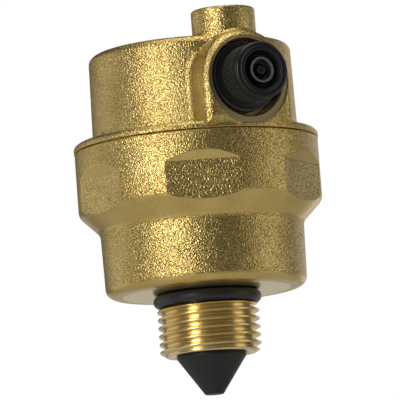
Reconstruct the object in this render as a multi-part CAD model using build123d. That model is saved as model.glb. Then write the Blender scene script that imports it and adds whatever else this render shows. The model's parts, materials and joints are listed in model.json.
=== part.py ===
from build123d import *
import math
import os

# Automatic air vent with a side outlet, for the high point of a heating circuit.
# A float in the brass body works a lever that opens and shuts a small vent seat.
# Millimetres. The origin is on the main axis at the machined shoulder face that
# seals on the pipe fitting, +Z is up and the side outlet points along -Y.

# Inlet thread and neck (G 3/8 parallel pipe thread)
thread_diameter = 16.662
thread_pitch = 1.337
thread_depth = 0.856
thread_flank_angle = 27.5
thread_root_width = 0.22
thread_end_height = -10.2
thread_start_height = -2.2
thread_turn = 121.0
thread_end_chamfer = 0.95
thread_start_chamfer = 0.45
neck_diameter = 13.5
inlet_bore_diameter = 11.9
inlet_bore_chamfer = 0.35
inlet_recess_diameter = 14.0
inlet_recess_depth = 1.0

# Body
shoulder_diameter = 25.5
shoulder_rise = 0.22
body_foot_diameter = 32.96
body_waist_diameter = 33.44
body_foot_radius = 1.55
waist_height = 10.7
waist_radius = 1.4
rim_diameter = 40.0
rim_start_height = 14.0
rim_lower_radius = 1.6
rim_height = 24.3
rim_chamfer = 0.3
hex_across_flats = 38.0
hex_first_angle = -25.0
hex_top_height = 19.3
hex_ledge_slope = 1.5
body_cavity_diameter = 29.2
body_floor_height = 2.2
body_floor_radius = 1.0
cover_socket_diameter = 34.7
cover_socket_floor = 16.0

# Cover
cover_spigot_diameter = 34.7
cover_spigot_end = 17.8
cover_flange_diameter = 40.2
cover_flange_thickness = 1.25
cover_flange_radius = 0.85
cover_base_diameter = 33.7
cover_top_diameter = 33.2
cover_root_radius = 0.6
cover_top_radius = 1.4
cover_top_height = 40.1
cover_cavity_diameter = 29.4
cover_roof_thickness = 2.4
cover_cavity_radius = 1.2

# Upright boss on the cover
boss_diameter = 10.4
boss_offset = 12.65
boss_rise = 4.5
boss_edge_radius = 0.35
boss_root_radius = 0.6

# Side port, measured outward from the main axis
port_height = 32.65
port_arch_height = 32.3
port_boss_radius = 8.0
port_face_distance = 20.0
port_edge_radius = 1.6
port_root_radius = 1.5
port_facing_diameter = 14.4
port_facing_height = 32.0
port_facing_depth = 0.4
port_recess_diameter = 12.6
port_recess_height = 32.4
port_recess_floor = 16.0
port_recess_chamfer = 0.2
port_pad_distance = 12.8
port_pad_width = 13.0
port_pad_bottom = 25.6
nozzle_hole_diameter = 6.4
nozzle_hole_end = 14.2
seat_hole_diameter = 4.4

# Seal rings
inlet_ring_section = 2.1
cover_ring_section = 1.8
nozzle_ring_section = 1.2

# Drip cone in the inlet
cone_base_diameter = 11.3
cone_base_height = -10.65
cone_tip_diameter = 3.0
cone_tip_height = -16.7
cone_edge_height = 0.45
cone_stem_diameter = 4.0
cone_rib_count = 4
cone_rib_width = 1.2
cone_rib_start = -9.2
cone_hook_reach = 0.75
cone_hook_thickness = 0.7

# Float
float_diameter = 25.6
float_bottom = 3.2
float_split_height = 19.0
float_top_height = 21.6
float_wall = 1.1
float_foot_count = 3
float_foot_radius = 9.5
float_foot_diameter = 3.0
float_ear_width = 1.4
float_ear_gap = 3.4
float_ear_length = 4.4
float_travel = 2.4

# Lever and shutter
lever_arm = 12.0
lever_pivot_drop = 5.0
lever_thickness = 2.4
lever_depth = 2.2
lever_slot_play = 0.3
pivot_distance = 10.1
pivot_pin_diameter = 1.6
link_pin_diameter = 1.5
pin_running_gap = 0.05
pin_head_diameter = 2.8
pin_head_thickness = 0.5
clip_diameter = 3.0
clip_thickness = 0.4
shutter_diameter = 3.6
shutter_thickness = 1.2
shutter_holder_wall = 0.5

# Lever bracket
bracket_thickness = 0.5
bracket_width = 8.4
bracket_ear_drop = 2.4

# Valve seat
seat_orifice_diameter = 1.6
seat_nib_diameter = 2.6
seat_nib_height = 0.3
seat_flange_diameter = 6.0
seat_flange_thickness = 0.6
seat_stem_end = 14.0
seat_chamber_diameter = 3.0
seat_chamber_start = 12.9

# Vent nozzle, cap and pin
nozzle_end = 14.6
nozzle_flange_diameter = 11.6
nozzle_flange_back = 17.2
nozzle_flange_front = 18.9
nozzle_neck_diameter = 6.4
nozzle_neck_front = 22.1
nozzle_tip_diameter = 4.2
nozzle_tip_front = 24.6
nozzle_bore_diameter = 2.4
nozzle_rear_bore_diameter = 1.8
nozzle_bore_floor = 17.6
cap_diameter = 9.35
cap_back = 19.1
cap_front = 24.7
cap_edge_radius = 0.5
cap_web_back = 22.5
cap_web_front = 23.1
cap_recess_diameter = 6.4
cap_running_gap = 0.06
pin_tip_diameter = 1.5
pin_collar_diameter = 2.2
pin_rod_diameter = 0.9
pin_tip_front = 24.3
pin_collar_front = 22.7
pin_collar_back = 22.2
pin_rod_end = 13.1
pin_clip_diameter = 2.5
pin_clip_front = 14.58
spring_wire = 0.2
spring_turns = 7

# Values that follow from the sizes above
thread_radius = thread_diameter / 2
thread_root_radius = thread_radius - thread_depth
neck_radius = neck_diameter / 2
inlet_bore_radius = inlet_bore_diameter / 2
rim_radius = rim_diameter / 2
cone_base_radius = cone_base_diameter / 2
cone_tip_radius = cone_tip_diameter / 2
cover_flange_top = rim_height + cover_flange_thickness
cover_cavity_top = cover_top_height - cover_roof_thickness
boss_top_height = cover_top_height + boss_rise
cover_ring_height = (cover_socket_floor + cover_spigot_end) / 2
pivot_height = port_height - lever_pivot_drop
seat_flange_front = port_pad_distance - bracket_thickness
seat_flange_back = seat_flange_front - seat_flange_thickness
seat_face_distance = seat_flange_back - seat_nib_height
lever_swing = math.degrees(float_travel / lever_arm)
nozzle_ring_distance = (port_recess_floor + nozzle_flange_back) / 2
pivot_point = (0, -pivot_distance, pivot_height)
link_drop = lever_arm * math.sin(math.radians(lever_swing / 2))
link_reach = lever_arm * math.cos(math.radians(lever_swing / 2))
link_point = (0, link_reach - pivot_distance, pivot_height - link_drop)

# Local frame of the side port: local +Z points outward from the main axis
port_frame = Plane(origin=(0, 0, port_height), x_dir=(1, 0, 0), z_dir=(0, -1, 0))


def profile(corners):
    # Closed face in the XZ plane from (across, up, corner radius) rows
    points = [(across, up) for across, up, radius in corners]
    face = Sketch() + make_face(Polyline(*points, close=True))
    for across, up, radius in corners:
        if radius > 0:
            corner = face.vertices().sort_by_distance(Vector(across, up, 0))[0]
            face = fillet(corner, radius)
    return Plane.XZ * face


def turned(corners):
    # Solid turned about the main axis
    return revolve(profile(corners), Axis.Z)


def port_turned(corners, rise=0):
    # Solid turned about the side port's axis, or about a line that much above it
    return Pos(0, 0, rise) * (port_frame.location * turned(corners))


def upright(radius, bottom, top, x=0.0, y=0.0):
    # Upright round bar between two heights
    disc = Plane(origin=(x, y, bottom)) * Circle(radius)
    return extrude(disc, amount=top - bottom)


def cross_bar(radius, low, high, centre):
    # Round bar along X through a point
    plane = Plane(origin=(low, centre[1], centre[2]), x_dir=(0, 1, 0), z_dir=(1, 0, 0))
    return extrude(plane * Circle(radius), amount=high - low)


def block(x_low, x_high, y_low, y_high, z_low, z_high):
    # Box between two corners
    box = Box(x_high - x_low, y_high - y_low, z_high - z_low)
    middle = ((x_low + x_high) / 2, (y_low + y_high) / 2, (z_low + z_high) / 2)
    return Pos(*middle) * box


def ring(section, centre_radius, height):
    # Round-section ring lying flat
    circle = Plane.XZ * Pos(centre_radius, height) * Circle(section / 2)
    return revolve(circle, Axis.Z)


def thread_groove():
    # Helical V groove, longer than the thread at both ends
    rise = thread_start_height - thread_end_height + 2 * thread_pitch
    helix = Helix(pitch=thread_pitch, height=rise, radius=thread_root_radius)
    over = 0.3
    half_root = thread_root_width / 2
    spread = math.tan(math.radians(thread_flank_angle))
    half_mouth = half_root + (thread_depth + over) * spread
    reach = thread_depth + over
    section_plane = Plane(origin=helix @ 0, x_dir=(1, 0, 0), z_dir=(0, -1, 0))
    outline = Polyline(
        (0, -half_root), (0, half_root), (reach, half_mouth), (reach, -half_mouth), close=True
    )
    groove = sweep(section_plane * make_face(outline), path=helix, is_frenet=True)
    return Pos(0, 0, thread_end_height - thread_pitch) * groove


def threaded_neck():
    # Male thread below the neck groove: grooved bar, then trimmed to chamfered ends
    end = thread_radius - thread_end_chamfer
    start = thread_radius - thread_start_chamfer
    over = 1.0
    bar = upright(thread_radius, thread_end_height - 0.5, thread_start_height + 0.5)
    envelope = turned([
        (0, thread_end_height, 0),
        (end, thread_end_height, 0),
        (thread_radius + over, thread_end_height + (thread_end_chamfer + over) * 0.6, 0),
        (thread_radius + over, thread_start_height - thread_start_chamfer - over, 0),
        (start, thread_start_height, 0),
        (0, thread_start_height, 0),
    ])
    return Rot(0, 0, thread_turn) * ((bar - thread_groove()) & envelope)


def hex_cutter(angle):
    # Removes one spanner flat: flat face, sloped ledge above it, open below into the cone
    flat = hex_across_flats / 2
    reach = rim_radius + 3
    ledge = hex_top_height + (reach - flat) * hex_ledge_slope
    outline = Polyline(
        (flat, waist_height + 0.5),
        (reach, waist_height + 0.5),
        (reach, ledge),
        (flat, hex_top_height),
        close=True,
    )
    wedge = extrude(Plane.XZ * make_face(outline), amount=12, both=True)
    return Rot(0, 0, angle - 90) * wedge


def make_body():
    cavity = body_cavity_diameter / 2
    socket = cover_socket_diameter / 2
    recess = inlet_recess_diameter / 2
    outside = turned([
        (0, 0, 0),
        (shoulder_diameter / 2, 0, 0),
        (body_foot_diameter / 2, shoulder_rise, body_foot_radius),
        (body_waist_diameter / 2, waist_height, waist_radius),
        (rim_radius, rim_start_height, rim_lower_radius),
        (rim_radius, rim_height - rim_chamfer, 0),
        (rim_radius - rim_chamfer, rim_height, 0),
        (0, rim_height, 0),
    ])
    for flat in range(6):
        outside -= hex_cutter(hex_first_angle + 60 * flat)
    neck = upright(neck_radius, thread_start_height - 0.6, 0.5)
    solid = outside + neck + threaded_neck()
    hollow = turned([
        (0, body_floor_height, 0),
        (cavity, body_floor_height, body_floor_radius),
        (cavity, cover_socket_floor, 0),
        (socket, cover_socket_floor, 0),
        (socket, rim_height + 1, 0),
        (0, rim_height + 1, 0),
    ])
    mouth = inlet_bore_radius + inlet_bore_chamfer
    bore = turned([
        (0, thread_end_height - 1, 0),
        (mouth, thread_end_height - 1, 0),
        (mouth, thread_end_height, 0),
        (inlet_bore_radius, thread_end_height + inlet_bore_chamfer, 0),
        (inlet_bore_radius, body_floor_height - inlet_recess_depth, 0),
        (recess, body_floor_height - inlet_recess_depth, 0),
        (recess, body_floor_height + 1, 0),
        (0, body_floor_height + 1, 0),
    ])
    return solid - hollow - bore


def port_arch(half_width, start, end):
    # Arch-shaped boss section: round over the port axis, straight sides down to the flange
    drop = port_arch_height - rim_height - 0.4
    circle = Circle(half_width)
    legs = Pos(0, -drop / 2) * Rectangle(2 * half_width, drop)
    plane = Plane(origin=(0, -start, port_arch_height), x_dir=(1, 0, 0), z_dir=(0, -1, 0))
    return extrude(plane * (circle + legs), amount=end - start)


def cover_outside():
    # Flange, drafted wall and port boss blended together, then topped and given its upright boss
    base = cover_base_diameter / 2
    top = cover_top_diameter / 2
    slope = (base - top) / (cover_top_height - cover_flange_top)
    over = 5.0
    spigot = cover_spigot_diameter / 2
    shell = turned([
        (0, cover_spigot_end, 0),
        (spigot, cover_spigot_end, 0),
        (spigot, rim_height, 0),
        (cover_flange_diameter / 2, rim_height, 0),
        (cover_flange_diameter / 2, cover_flange_top, cover_flange_radius),
        (base, cover_flange_top, 0),
        (top - over * slope, cover_top_height + over, 0),
        (0, cover_top_height + over, 0),
    ])
    arch = port_arch(port_boss_radius, 9.0, port_face_distance)
    front = arch.faces().sort_by(Axis.Y)[0].outer_wire().edges().sort_by(Axis.Z)[1:]
    arch = fillet(front, port_edge_radius)
    keep = upright(port_face_distance + port_boss_radius, rim_height, cover_top_height + over)
    blended = shell + (arch & keep)
    middle = (base + top) / 2
    roots = []
    for edge in blended.edges():
        point = edge @ 0.5
        on_wall = abs(math.hypot(point.X, point.Y) - middle) < 0.4
        if on_wall and point.Y < -5 and point.Z > cover_flange_top + 0.1:
            roots.append(edge)
    blended = fillet(roots, port_root_radius)
    skin = 0.02
    dome = turned([
        (0, cover_top_height - 4, 0),
        (top + 4 * slope + skin, cover_top_height - 4, 0),
        (top + skin, cover_top_height, cover_top_radius),
        (0, cover_top_height, 0),
    ])
    above = upright(base + 3, cover_top_height - 3, cover_top_height + over + 1) - dome
    above -= port_arch(port_boss_radius, 9.0, port_face_distance + 3)
    boss = upright(boss_diameter / 2, rim_height + 8, boss_top_height, y=-boss_offset)
    boss = fillet(boss.edges().group_by(Axis.Z)[-1], boss_edge_radius)
    joined = blended - above + boss
    foot = []
    for edge in joined.edges():
        point = edge @ 0.5
        off_boss = abs(math.hypot(point.X, point.Y + boss_offset) - boss_diameter / 2)
        if off_boss < 0.12 and cover_top_height - 2 < point.Z < cover_top_height + 0.6:
            foot.append(edge)
    return fillet(foot, boss_root_radius)


def make_cover():
    cavity = cover_cavity_diameter / 2
    hollow = turned([
        (0, cover_spigot_end - 1, 0),
        (cavity, cover_spigot_end - 1, 0),
        (cavity, cover_cavity_top, cover_cavity_radius),
        (0, cover_cavity_top, 0),
    ])
    half_pad = port_pad_width / 2
    pad_keep = block(-half_pad, half_pad, -cavity - 2, -port_pad_distance, port_pad_bottom,
                     cover_cavity_top + 1)
    hole = port_turned([
        (0, port_pad_distance - 2, 0),
        (seat_hole_diameter / 2, port_pad_distance - 2, 0),
        (seat_hole_diameter / 2, nozzle_hole_end, 0),
        (nozzle_hole_diameter / 2, nozzle_hole_end, 0),
        (nozzle_hole_diameter / 2, port_recess_floor + 1, 0),
        (0, port_recess_floor + 1, 0),
    ])
    # The recess and the faced ring round it sit a little lower than the vent hole
    recess = port_recess_diameter / 2
    facing = port_facing_diameter / 2
    facing_floor = port_face_distance - port_facing_depth
    recess_cut = port_turned([
        (0, port_recess_floor, 0),
        (recess, port_recess_floor, 0),
        (recess, facing_floor - port_recess_chamfer, 0),
        (recess + port_recess_chamfer, facing_floor, 0),
        (recess + port_recess_chamfer, port_face_distance, 0),
        (0, port_face_distance, 0),
    ], port_recess_height - port_height)
    facing_cut = port_turned([
        (0, facing_floor, 0),
        (facing, facing_floor, 0),
        (facing, port_face_distance + 2, 0),
        (0, port_face_distance + 2, 0),
    ], port_facing_height - port_height)
    return cover_outside() - (hollow - pad_keep) - hole - recess_cut - facing_cut


def make_inlet_cone():
    # Cone that sheds drops, held in the bore by ribs with hooks over the floor recess
    stem = cone_stem_diameter / 2
    edge_top = cone_base_height + cone_edge_height
    recess_floor = body_floor_height - inlet_recess_depth
    cone = turned([
        (0, cone_tip_height, 0),
        (cone_tip_radius, cone_tip_height, 0.25),
        (cone_base_radius, cone_base_height, 0),
        (cone_base_radius, edge_top, 0),
        (stem, edge_top, 0),
        (stem, recess_floor + cone_hook_thickness, 0),
        (0, recess_floor + cone_hook_thickness, 0),
    ])
    half = cone_rib_width / 2
    hook_top = recess_floor + cone_hook_thickness
    for index in range(cone_rib_count):
        rib = block(0, inlet_bore_radius, -half, half, cone_rib_start, hook_top)
        hook = block(0, inlet_bore_radius + cone_hook_reach, -half, half, recess_floor, hook_top)
        cone += Rot(0, 0, 45 + index * 360 / cone_rib_count) * (rib + hook)
    keep = upright(inlet_bore_radius, cone_tip_height, recess_floor)
    keep += upright(inlet_recess_diameter / 2 - 0.2, recess_floor, hook_top)
    return cone & keep


def make_float_cup():
    outer = float_diameter / 2
    inner = outer - float_wall
    dish = inlet_recess_diameter / 2 + 0.6
    cup = turned([
        (0, float_bottom + 0.6, 0),
        (dish - 0.6, float_bottom + 0.6, 0),
        (dish, float_bottom, 0),
        (outer, float_bottom, 1.0),
        (outer, float_split_height, 0),
        (inner, float_split_height, 0),
        (inner, float_bottom + 0.6 + float_wall, 0),
        (0, float_bottom + 0.6 + float_wall, 0),
    ])
    for index in range(float_foot_count):
        angle = math.radians(90 + index * 360 / float_foot_count)
        x = float_foot_radius * math.cos(angle)
        y = float_foot_radius * math.sin(angle)
        foot_top = float_bottom + 0.3
        cup += upright(float_foot_diameter / 2, body_floor_height + 0.02, foot_top, x, y)
    return cup


def make_float_lid():
    # Lid with a locating spigot and two ears that carry the link pin
    outer = float_diameter / 2
    fit = outer - float_wall
    lid = turned([
        (0, float_top_height - float_wall, 0),
        (fit - 1.0, float_top_height - float_wall, 0),
        (fit - 1.0, float_split_height - 1.5, 0),
        (fit, float_split_height - 1.5, 0),
        (fit, float_split_height, 0),
        (outer, float_split_height, 0),
        (outer, float_top_height, 1.0),
        (0, float_top_height, 0),
    ])
    gap = float_ear_gap / 2
    half = float_ear_length / 2
    crown = link_point[2]
    for side in (-1, 1):
        low = min(side * gap, side * (gap + float_ear_width))
        high = max(side * gap, side * (gap + float_ear_width))
        post = block(low, high, link_point[1] - half, link_point[1] + half,
                     float_top_height - 0.3, crown)
        lid += post + cross_bar(half, low, high, link_point)
    outer_face = gap + float_ear_width
    return lid - cross_bar(link_pin_diameter / 2, -outer_face - 1, outer_face + 1, link_point)


def make_headed_pin(diameter, half_grip, centre):
    # Pin with a head at one end and a clip groove near the other
    tail = half_grip + clip_thickness + 0.5
    pin = cross_bar(diameter / 2, -half_grip, tail, centre)
    head = cross_bar(pin_head_diameter / 2, -half_grip - pin_head_thickness, -half_grip, centre)
    groove = cross_bar(diameter, half_grip + 0.02, half_grip + 0.02 + clip_thickness, centre)
    groove -= cross_bar(diameter / 2 - 0.25, half_grip - 1, half_grip + 2, centre)
    return pin + head - groove


def make_clip(diameter, half_grip, centre):
    # Open spring clip that sits in the pin's groove
    low = half_grip + 0.02
    high = low + clip_thickness
    clip = cross_bar(clip_diameter / 2, low, high, centre)
    clip -= cross_bar(diameter / 2 - 0.25, low - 1, high + 1, centre)
    slot = diameter / 2 - 0.35
    clip -= block(low - 1, high + 1, centre[1] - slot, centre[1] + slot, centre[2] - 4, centre[2])
    return clip


def about_pivot(shape, degrees):
    # Turns a shape about the lever pivot
    return Pos(*pivot_point) * Rot(degrees, 0, 0) * Pos(0, pivot_distance, -pivot_height) * shape


def make_shutter_pad():
    # Rubber disc, drawn shut on the seat and then swung open to its place at rest
    back = seat_face_distance - shutter_thickness
    disc = port_turned([
        (0, back, 0),
        (shutter_diameter / 2, back, 0),
        (shutter_diameter / 2, seat_face_distance, 0),
        (0, seat_face_distance, 0),
    ])
    return about_pivot(disc, -lever_swing)


def make_lever():
    # Bell crank: a pad holder above the pivot and an arm out over the float
    half = lever_thickness / 2
    depth = lever_depth / 2
    front = seat_face_distance - 0.35
    back = seat_face_distance - shutter_thickness - shutter_holder_wall
    holder_radius = shutter_diameter / 2 + shutter_holder_wall
    holder = port_turned([
        (0, back, 0),
        (holder_radius, back, 0),
        (holder_radius, front, 0),
        (shutter_diameter / 2, front, 0),
        (shutter_diameter / 2, back + shutter_holder_wall, 0),
        (0, back + shutter_holder_wall, 0),
    ])
    neck_top = port_height - shutter_diameter / 2 - 0.1
    neck = block(-half, half, -back - 0.45, 1.0 - pivot_distance, pivot_height, neck_top)
    hub = cross_bar(lever_depth * 0.75, -half, half, pivot_point)
    tip = (0, lever_arm - pivot_distance, pivot_height)
    arm = block(-half, half, -pivot_distance, lever_arm - pivot_distance,
                pivot_height - depth, pivot_height + depth)
    arm += cross_bar(depth, -half, half, tip)
    hole = link_pin_diameter / 2 + pin_running_gap
    slot = cross_bar(hole, -half - 1, half + 1, (0, tip[1] - lever_slot_play, tip[2]))
    slot += cross_bar(hole, -half - 1, half + 1, (0, tip[1] + lever_slot_play, tip[2]))
    slot += block(-half - 1, half + 1, tip[1] - lever_slot_play, tip[1] + lever_slot_play,
                  pivot_height - hole, pivot_height + hole)
    tip_pad = cross_bar(hole + 0.7, -half, half, tip)
    arm = about_pivot(arm + tip_pad - slot, lever_swing / 2)
    lever = holder + neck + hub + arm
    lever -= cross_bar(pivot_pin_diameter / 2 + pin_running_gap, -half - 1, half + 1, pivot_point)
    return about_pivot(lever, -lever_swing)


def make_bracket():
    # Plate clamped behind the seat flange, with two ears that carry the pivot pin
    half = bracket_width / 2
    plate_front = -port_pad_distance
    plate_back = plate_front + bracket_thickness
    low = pivot_height - bracket_ear_drop
    plate = block(-half, half, plate_front, plate_back, low, port_height + 4.0)
    ears = Part()
    for side in (-1, 1):
        inner = side * (half - bracket_thickness)
        outer = side * half
        ears += block(min(inner, outer), max(inner, outer), plate_front, 1.6 - pivot_distance,
                      low, pivot_height + bracket_ear_drop - 0.6)
    bracket = plate + ears
    seat_hole = port_frame.location * upright(seat_hole_diameter / 2, 8, 15)
    window = block(-1.6, 1.6, plate_front - 1, plate_back + 1, low - 1, pivot_height + 1.4)
    bracket = bracket - seat_hole - window
    return bracket - cross_bar(pivot_pin_diameter / 2, -half - 1, half + 1, pivot_point)


def make_valve_seat():
    orifice = seat_orifice_diameter / 2
    return port_turned([
        (orifice, seat_face_distance, 0),
        (seat_nib_diameter / 2, seat_face_distance, 0),
        (seat_nib_diameter / 2, seat_flange_back, 0),
        (seat_flange_diameter / 2, seat_flange_back, 0),
        (seat_flange_diameter / 2, seat_flange_front, 0),
        (seat_hole_diameter / 2, seat_flange_front, 0),
        (seat_hole_diameter / 2, seat_stem_end, 0),
        (seat_chamber_diameter / 2, seat_stem_end, 0),
        (seat_chamber_diameter / 2, seat_chamber_start, 0),
        (orifice, seat_chamber_start, 0),
    ])


def make_lever_spring():
    # Light coil round the pivot pin; its long leg lies under the lever arm
    wire = 0.3
    inner = pivot_pin_diameter / 2 + 0.15
    turns = 3
    start = lever_thickness / 2 + 0.35
    helix = Helix(pitch=wire * 1.25, height=wire * 1.25 * turns, radius=inner + wire / 2)
    coil_path = Location((0, 0, 0)) * helix
    section = Plane(origin=coil_path @ 0, z_dir=coil_path % 0) * Circle(wire / 2)
    coil = sweep(section, path=coil_path)
    turn_to_x = Plane(origin=(start, pivot_point[1], pivot_point[2]), x_dir=(0, 1, 0),
                      z_dir=(1, 0, 0))
    return turn_to_x.location * coil


def make_nozzle():
    # Screwed insert: round flange in the recess, threaded neck for the cap, open tip
    bore = nozzle_bore_diameter / 2
    rear = nozzle_rear_bore_diameter / 2
    return port_turned([
        (rear, nozzle_end, 0),
        (nozzle_hole_diameter / 2, nozzle_end, 0),
        (nozzle_hole_diameter / 2, nozzle_flange_back, 0),
        (nozzle_flange_diameter / 2, nozzle_flange_back, 0),
        (nozzle_flange_diameter / 2, nozzle_flange_front, 0.3),
        (nozzle_neck_diameter / 2, nozzle_flange_front, 0),
        (nozzle_neck_diameter / 2, nozzle_neck_front, 0),
        (nozzle_tip_diameter / 2, nozzle_neck_front, 0),
        (nozzle_tip_diameter / 2, nozzle_tip_front, 0.15),
        (bore, nozzle_tip_front, 0.1),
        (bore, nozzle_bore_floor, 0),
        (rear, nozzle_bore_floor, 0),
    ])


def make_cap():
    # Round grip with an inner web that carries the sealing washer
    inner = nozzle_neck_diameter / 2 + cap_running_gap
    web = nozzle_tip_diameter / 2 + cap_running_gap
    return port_turned([
        (inner, cap_back, 0),
        (cap_diameter / 2, cap_back, 0.15),
        (cap_diameter / 2, cap_front, cap_edge_radius),
        (cap_recess_diameter / 2, cap_front, 0.15),
        (cap_recess_diameter / 2, cap_web_front, 0.2),
        (web, cap_web_front, 0),
        (web, cap_web_back, 0),
        (inner, cap_web_back, 0),
    ])


def make_cap_washer():
    inner = nozzle_tip_diameter / 2 + cap_running_gap
    outer = nozzle_neck_diameter / 2
    return port_turned([
        (inner, nozzle_neck_front, 0),
        (outer, nozzle_neck_front, 0),
        (outer, cap_web_back, 0),
        (inner, cap_web_back, 0),
    ])


def make_vent_pin():
    # Clearing pin: press tip, guide collar with flats, thin rod down to the seat
    rod = pin_rod_diameter / 2
    pin = port_turned([
        (0, pin_rod_end, 0),
        (rod, pin_rod_end, 0.15),
        (rod, pin_collar_back, 0),
        (pin_collar_diameter / 2, pin_collar_back, 0),
        (pin_collar_diameter / 2, pin_collar_front, 0),
        (pin_tip_diameter / 2, pin_collar_front, 0),
        (pin_tip_diameter / 2, pin_tip_front, 0.3),
        (0, pin_tip_front, 0),
    ])
    return pin


def make_pin_clip():
    inner = pin_rod_diameter / 2
    back = pin_clip_front - 0.35
    return port_turned([
        (inner, back, 0),
        (pin_clip_diameter / 2, back, 0),
        (pin_clip_diameter / 2, pin_clip_front, 0),
        (inner, pin_clip_front, 0),
    ])


def make_pin_spring():
    # Compression coil between the bore floor and the pin's collar
    mean = (nozzle_bore_diameter - spring_wire) / 2 - 0.1
    low = nozzle_bore_floor + spring_wire / 2 + 0.02
    high = pin_collar_back - spring_wire / 2 - 0.02
    helix = Helix(pitch=(high - low) / spring_turns, height=high - low, radius=mean)
    section = Plane(origin=helix @ 0, z_dir=helix % 0) * Circle(spring_wire / 2)
    coil = sweep(section, path=helix)
    return port_frame.location * Pos(0, 0, low) * coil


def build_parts():
    ear_face = float_ear_gap / 2 + float_ear_width
    bracket_face = bracket_width / 2
    inlet_ring = ring(inlet_ring_section, neck_radius + inlet_ring_section / 2,
                      -inlet_ring_section / 2)
    ring_radius = cover_socket_diameter / 2 - cover_ring_section / 2 - 0.05
    nozzle_ring = ring(nozzle_ring_section, (nozzle_hole_diameter + nozzle_ring_section) / 2, 0)
    return {
        "body": make_body(),
        "cover": make_cover(),
        "body_seal_ring": ring(cover_ring_section, ring_radius, cover_ring_height),
        "inlet_seal_ring": inlet_ring,
        "inlet_cone": make_inlet_cone(),
        "float_cup": make_float_cup(),
        "float_lid": make_float_lid(),
        "link_pin": make_headed_pin(link_pin_diameter, ear_face, link_point),
        "link_clip": make_clip(link_pin_diameter, ear_face, link_point),
        "lever": make_lever(),
        "shutter_pad": make_shutter_pad(),
        "lever_bracket": make_bracket(),
        "pivot_pin": make_headed_pin(pivot_pin_diameter, bracket_face, pivot_point),
        "pivot_clip": make_clip(pivot_pin_diameter, bracket_face, pivot_point),
        "lever_spring": make_lever_spring(),
        "valve_seat": make_valve_seat(),
        "vent_nozzle": make_nozzle(),
        "nozzle_seal_ring": port_frame.location * Pos(0, 0, nozzle_ring_distance) * nozzle_ring,
        "vent_cap": make_cap(),
        "cap_washer": make_cap_washer(),
        "vent_pin": make_vent_pin(),
        "vent_pin_clip": make_pin_clip(),
        "vent_pin_spring": make_pin_spring(),
    }


os.makedirs("parts", exist_ok=True)
for name, shape in build_parts().items():
    shape.label = name
    export_step(shape, f"parts/{name}.step")
    print(name, round(shape.volume, 2))
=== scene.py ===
import bpy
import bmesh
import json
import math
import random
from mathutils import Matrix, Vector
from mathutils.bvhtree import BVHTree


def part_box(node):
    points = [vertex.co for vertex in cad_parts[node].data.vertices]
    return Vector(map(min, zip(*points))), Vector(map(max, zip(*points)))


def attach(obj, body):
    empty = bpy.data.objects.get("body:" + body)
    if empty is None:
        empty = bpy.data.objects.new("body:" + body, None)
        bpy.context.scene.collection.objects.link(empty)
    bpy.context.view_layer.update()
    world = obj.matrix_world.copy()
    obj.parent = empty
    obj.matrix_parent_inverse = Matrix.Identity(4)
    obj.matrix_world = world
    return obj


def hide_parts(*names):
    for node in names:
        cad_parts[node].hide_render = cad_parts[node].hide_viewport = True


# Automatic air vent with a side outlet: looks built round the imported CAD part.
# Everything is in metres, in the part's own frame: +Z up the main axis, side port towards -Y.

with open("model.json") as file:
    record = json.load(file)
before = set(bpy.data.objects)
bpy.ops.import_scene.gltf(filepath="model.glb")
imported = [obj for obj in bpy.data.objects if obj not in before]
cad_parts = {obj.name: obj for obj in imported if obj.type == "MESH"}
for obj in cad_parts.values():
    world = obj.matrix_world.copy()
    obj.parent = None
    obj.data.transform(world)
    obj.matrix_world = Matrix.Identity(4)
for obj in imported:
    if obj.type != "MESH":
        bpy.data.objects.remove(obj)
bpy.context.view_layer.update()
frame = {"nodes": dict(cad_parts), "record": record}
nodes = frame["nodes"]
mm = 0.001
print("frame loaded:", len(nodes), "nodes")


def addNode(tree, kind, place=(0, 0), **settings):
    node = tree.nodes.new(kind)
    node.location = place
    for key, value in settings.items():
        setattr(node, key, value)
    return node


def setInputs(node, **values):
    for key, value in values.items():
        node.inputs[key.replace("_", " ")].default_value = value
    return node


def mathNode(tree, operation, a, b=None, clamp=False):
    node = addNode(tree, "ShaderNodeMath", operation=operation, use_clamp=clamp)
    for index, value in enumerate((a, b)):
        if value is None:
            continue
        if isinstance(value, (int, float)):
            node.inputs[index].default_value = value
        else:
            tree.links.new(value, node.inputs[index])
    return node.outputs[0]


def rampNode(tree, source, stops, interpolation="LINEAR"):
    node = addNode(tree, "ShaderNodeValToRGB")
    node.color_ramp.interpolation = interpolation
    ramp = node.color_ramp
    while len(ramp.elements) < len(stops):
        ramp.elements.new(0.5)
    for element, (place, level) in zip(ramp.elements, stops):
        element.position = place
        colour = level if isinstance(level, tuple) else (level, level, level)
        element.color = (*colour, 1.0)
    tree.links.new(source, node.inputs["Fac"])
    return node.outputs["Color"]


def mixColour(tree, factor, a, b, blend="MIX"):
    node = addNode(tree, "ShaderNodeMix", data_type="RGBA", blend_type=blend)
    for socket, value in ((node.inputs[0], factor), (node.inputs[6], a), (node.inputs[7], b)):
        if isinstance(value, (int, float)):
            socket.default_value = value
        elif isinstance(value, tuple):
            socket.default_value = (*value, 1.0)
        else:
            tree.links.new(value, socket)
    return node.outputs[2]


def mixValue(tree, factor, a, b):
    node = addNode(tree, "ShaderNodeMix", data_type="FLOAT")
    for socket, value in ((node.inputs[0], factor), (node.inputs[2], a), (node.inputs[3], b)):
        if isinstance(value, (int, float)):
            socket.default_value = value
        else:
            tree.links.new(value, socket)
    return node.outputs[0]


cameraSet = {
    "azimuth": -28.0,
    "elevation": -8.0,
    "roll": -4.3,
    "distance": 0.85,
    "lens": 466.7,
    "sensorWidth": 36.0,
    "clip": (0.01, 20.0),
    "target": (0.0, 0.0, 0.0154),
}


def directionOf(azimuth, elevation):
    a, e = math.radians(azimuth), math.radians(elevation)
    return Vector((math.sin(a) * math.cos(e), -math.cos(a) * math.cos(e), math.sin(e)))


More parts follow.
